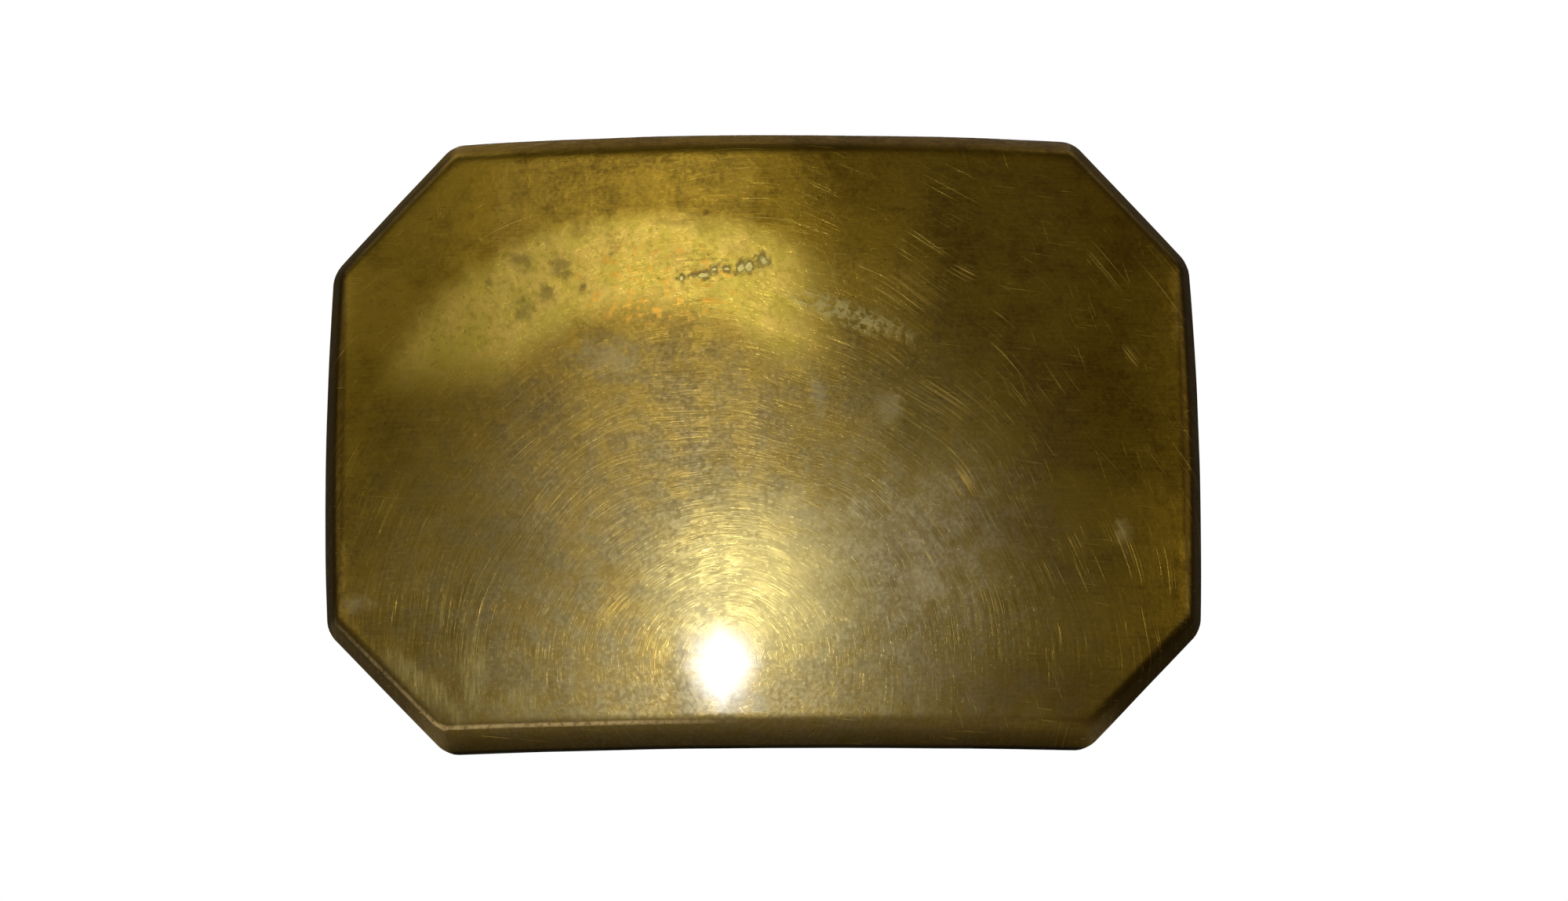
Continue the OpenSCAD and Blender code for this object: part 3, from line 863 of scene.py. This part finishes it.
# Peg pad. A small brass plate with round ends, bent to the backing sheet and riveted above and
# below the peg, to spread the pull of the belt.
peg_across = 0.0285
peg_angle = asin(peg_across / rear_radius)
pad_sheet = 0.0012
pad_width = 0.009
pad_height = 0.020
pad_edge = 0.00028
round_sides = 40

bpy.ops.object.select_all(action="DESELECT")
bpy.ops.mesh.primitive_circle_add(vertices=round_sides, radius=pad_width / 2, fill_type="NGON",
                                  rotation=(-pi / 2, pi / round_sides, 0))
hook_pad = bpy.context.object
hook_pad.name = "hook_pad_plate"
bpy.ops.object.transform_apply(location=True, rotation=True, scale=True)
bpy.ops.object.mode_set(mode="EDIT")
for end in (-1, 1):
    pick(hook_pad, "VERT", lambda vertex, middle: middle.z * end > 0)
    bpy.ops.transform.translate(value=(0, 0, end * (pad_height - pad_width) / 2))
for line in range(-3, 4):
    bpy.ops.mesh.select_all(action="SELECT")
    bpy.ops.mesh.bisect(plane_co=(line * pad_width / 8, 0, 0), plane_no=(1, 0, 0))
bpy.ops.mesh.select_all(action="SELECT")
bpy.ops.mesh.extrude_region_move(TRANSFORM_OT_translate={"value": (0, pad_sheet, 0)})
face_outwards()
bpy.ops.object.mode_set(mode="OBJECT")
finish_modifier(hook_pad, "BEVEL", width=pad_edge, segments=3, limit_method="ANGLE",
                angle_limit=radians(40))
bend_to_back(hook_pad, peg_angle)
bpy.ops.object.shade_smooth_by_angle(angle=radians(40))
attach(hook_pad, "plate")
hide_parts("hook_pad")
peg_place = (peg_across, bend_axis_y - (rear_radius - pad_sheet) * cos(peg_angle), plate_mid_z)
metal, colour, roughness, height = handled_brass("peg pad brass", peg_place, 90, 5, fitting_fresh,
                                                 fitting_dull, 0.09)
# The pad is darker round the peg's foot, partly grime and partly painted shade.
pad_grime_and_shade = metal.spot(metal.millimetres(peg_place), (0, 0), (3.6, 3.6), 0, 0.4, 0.9, 1.5)
colour = metal.layer(colour, pad_grime_and_shade, 0.7, grime_and_shade_brown)
metal.finish(hook_pad, colour, roughness, 1.0, height)

# Pad rivets. Two of the same rivets, a little longer in the grip for the thicker pad.
pad_rivet_heights = (-0.0066, 0.0066)
pad_rivets = rivet_row("pad_rivets_hammered", pad_rivet_heights, peg_angle, pad_grip)
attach(pad_rivets, "plate")
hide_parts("pad_rivets")
rivet_finish("pad rivet brass", pad_rivets)

# Peg. Turned from brass bar, with a collar that stands it clear of the pad and a round end,
# leaning towards the end of the plate. Its spigot is staked over inside the shell.
collar_radius, collar_height = 3.30, 1.60
peg_radius, peg_length = 2.30, 5.00
neck_fillet = 0.30
peg_lean = peg_angle + radians(3)
dome_steps = 9
spigot_profile = ((2.25, -1.62), (2.25, -1.02), (1.50, -1.02), (1.50, 1.18))
# Radius and height in millimetres, from the foot, which is trimmed to the pad, to the round end.
peg_profile = [(collar_radius, -1.20), (collar_radius, collar_height - 0.18),
               (collar_radius - 0.05, collar_height - 0.06), (collar_radius - 0.18, collar_height)]
for step in range(5):
    turn = step / 4 * pi / 2
    peg_profile.append((peg_radius + neck_fillet * (1 - sin(turn)),
                        collar_height + neck_fillet * (1 - cos(turn))))
dome_centre = collar_height + peg_length
for step in range(dome_steps):
    turn = step / dome_steps * pi / 2
    peg_profile.append((peg_radius * cos(turn), dome_centre + peg_radius * sin(turn)))
peg_profile.append((0.05, dome_centre + peg_radius))

hook_peg = turned("hook_peg_turned", peg_profile, round_sides)
bpy.ops.object.select_all(action="DESELECT")
hook_peg.select_set(True)
seat = hook_peg.data.attributes.new("from_seat", "FLOAT", "POINT")
for vertex, value in zip(hook_peg.data.vertices, seat.data):
    value.value = 1000 * vertex.co.y
set_on_back(hook_peg, peg_angle, pad_sheet, peg_lean)
pad_face = Vector((sin(peg_angle), -cos(peg_angle), 0)) * (rear_radius - pad_sheet)
bpy.ops.object.mode_set(mode="EDIT")
bpy.ops.mesh.select_all(action="SELECT")
bpy.ops.mesh.bisect(plane_co=pad_face + Vector((0, bend_axis_y, 0)), plane_no=-pad_face.normalized(),
                    use_fill=True, clear_inner=True)
bpy.ops.object.mode_set(mode="OBJECT")
spigot = turned("peg_spigot", spigot_profile)
set_on_back(spigot, peg_angle)
hook_peg = joined("hook_peg_turned", [hook_peg, spigot])
bpy.ops.object.shade_smooth_by_angle(angle=radians(40))
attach(hook_peg, "plate")
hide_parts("hook_peg")

metal, colour, roughness, height = handled_brass("turned peg brass", peg_place, 0, 0.5, rivet_fresh,
                                                 fitting_dull, 0.03)
seat = metal.add("Attribute", "Fac", {}, attribute_name="from_seat")
tool_lines = metal.add("TexNoise", "Fac", {"W": seat, "Scale": 7.0, "Detail": 2.0}, noise_dimensions="1D")
worn_by_belt = metal.times(metal.fade(seat, 2.2, 3.4), metal.fade(seat, 8.2, 6.0, 0.5, 1.0))
colour = metal.layer(colour, worn_by_belt, 0.5, bare_brass)
# Darker at the collar's foot and where the shank meets the collar, partly grime and partly painted shade.
foot_grime_and_shade = metal.most(metal.fade(seat, 0.7, 0.1),
                        metal.times(metal.fade(seat, 1.5, 1.65), metal.fade(seat, 2.2, 1.8)))
colour = metal.layer(colour, foot_grime_and_shade, 0.8, grime_and_shade_brown)
height = metal.total(height, metal.times(tool_lines, 0.012))
metal.finish(hook_peg, colour, roughness, 1.0, height)

# Studio. A plain pale floor, a white backdrop, soft boxes round the front and back, and a small
# flash over the lens. The floor shows from above only, because the camera looks up past it, and
# it drops out of the reflections in the brass towards and beyond the ends of the plate.
def soft_box(name, azimuth, elevation, distance, width, height, watts, colour, target):
    """A rectangular lamp that the camera can't see, aimed at the buckle."""
    out = Vector((sin(radians(azimuth)) * cos(radians(elevation)),
                  -cos(radians(azimuth)) * cos(radians(elevation)), sin(radians(elevation))))
    bpy.ops.object.light_add(type="AREA", location=target + out * distance)
    lamp = bpy.context.object
    lamp.name = name
    lamp.rotation_euler = out.to_track_quat("Z", "Y").to_euler()
    lamp.data.shape = "RECTANGLE"
    lamp.data.size, lamp.data.size_y = width, height
    lamp.data.energy = watts
    lamp.data.color = colour
    lamp.visible_camera = False
    return lamp


bpy.ops.object.select_all(action="DESELECT")
bpy.ops.mesh.primitive_grid_add(x_subdivisions=4, y_subdivisions=4, size=6)
floor = bpy.context.object
floor.name = "studio_floor"
paper = Finish("pale studio floor")
fibres = paper.noise(paper.millimetres((0, 0, 0)), 0.8, 4, 0.6)
shade = paper.mix(fibres, (0.80, 0.80, 0.80, 1), (0.84, 0.84, 0.83, 1))
paper.finish(floor, shade, 0.8, 0.0, paper.times(fibres, 0.02))
from_below = paper.add("NewGeometry", "Backfacing", {})
one_way = paper.tree.nodes.new("ShaderNodeMixShader")
aside = paper.add("SeparateXYZ", "X", {"Vector": paper.millimetres((0, 0, 0))})
past_ends = paper.most(paper.fade(aside, 26, 40), paper.fade(aside, -30, -44, 0.0, 0.8))
mirrored = paper.times(paper.add("LightPath", "Is Glossy Ray", {}), past_ends)
paper.feed(one_way.inputs[0], paper.most(from_below, mirrored))
paper.feed(one_way.inputs[1], paper.shader.outputs[0])
paper.feed(one_way.inputs[2], paper.add("BsdfTransparent", 0, {}))
paper.feed(paper.tree.nodes["Material Output"].inputs["Surface"], one_way.outputs[0])

# The room is dim in reflections, lights the buckle softly, and is white behind it.
room_colour = (0.075, 0.068, 0.055, 1)
world = bpy.data.worlds.new("white backdrop")
bpy.context.scene.world = world
world.use_nodes = True
dim_room = world.node_tree.nodes["Background"]
dim_room.inputs["Color"].default_value = room_colour
seen_by = world.node_tree.nodes.new("ShaderNodeLightPath")
surface = dim_room.outputs[0]
for ray, grey in (("Is Diffuse Ray", 0.75), ("Is Camera Ray", 1.0)):
    glow = world.node_tree.nodes.new("ShaderNodeBackground")
    glow.inputs["Color"].default_value = (grey, grey, grey, 1)
    either = world.node_tree.nodes.new("ShaderNodeMixShader")
    world.node_tree.links.new(seen_by.outputs[ray], either.inputs[0])
    world.node_tree.links.new(surface, either.inputs[1])
    world.node_tree.links.new(glow.outputs[0], either.inputs[2])
    surface = either.outputs[0]
world.node_tree.links.new(surface, world.node_tree.nodes["World Output"].inputs["Surface"])

# The flash stands where the polished face throws it back at the lens from the swirl's centre.
glint_turn = asin(swirl_centre[0] / 1000 / bend_radius)
glint = Vector((swirl_centre[0] / 1000, plate_lo.y + bend_radius * (1 - cos(glint_turn)),
                plate_mid_z + swirl_centre[1] / 1000))
facing = Vector((sin(glint_turn), -cos(glint_turn), 0))
to_lens = (camera_place - glint).normalized()
to_flash = 2 * facing.dot(to_lens) * facing - to_lens
for tube, wide, tall, watts in (("flash tube", 0.054, 0.006, 0.043), ("flash window", 0.036, 0.012, 0.053)):
    bpy.ops.object.light_add(type="AREA", location=glint + to_flash * camera_distance)
    flash = bpy.context.object
    flash.name = tube
    flash.rotation_euler = to_flash.to_track_quat("Z", "Y").to_euler()
    flash.data.shape = "ELLIPSE"
    flash.data.size, flash.data.size_y = wide, tall
    flash.data.energy = watts
    flash.data.color = (0.97, 0.98, 1.0)
    flash.visible_camera = False

middle = Vector((0, 0, plate_mid_z))
warm, neutral, amber = (1.0, 0.93, 0.80), (1.0, 0.98, 0.95), (1.0, 0.78, 0.45)
# Name, azimuth and elevation in degrees, distance, width, height, watts and colour.
for row in (("window", -12, 17, 0.9, 0.36, 0.16, 0.25, warm),
            ("far window", 20, 14, 0.9, 0.26, 0.16, 0.035, warm),
            ("front left box", -60, 9, 0.8, 0.5, 0.22, 0.40, neutral),
            ("front right box", 60, 9, 0.8, 0.5, 0.22, 0.50, warm),
            ("left side box", -95, 58, 0.9, 0.5, 0.5, 0.7, neutral),
            ("right side box", 95, 58, 0.9, 0.5, 0.5, 0.7, neutral),
            ("back box", 180, 28, 0.9, 0.4, 0.4, 3.0, neutral),
            ("high back box", -170, 64, 0.9, 0.8, 0.3, 0.22, amber)):
    soft_box(*row, middle)
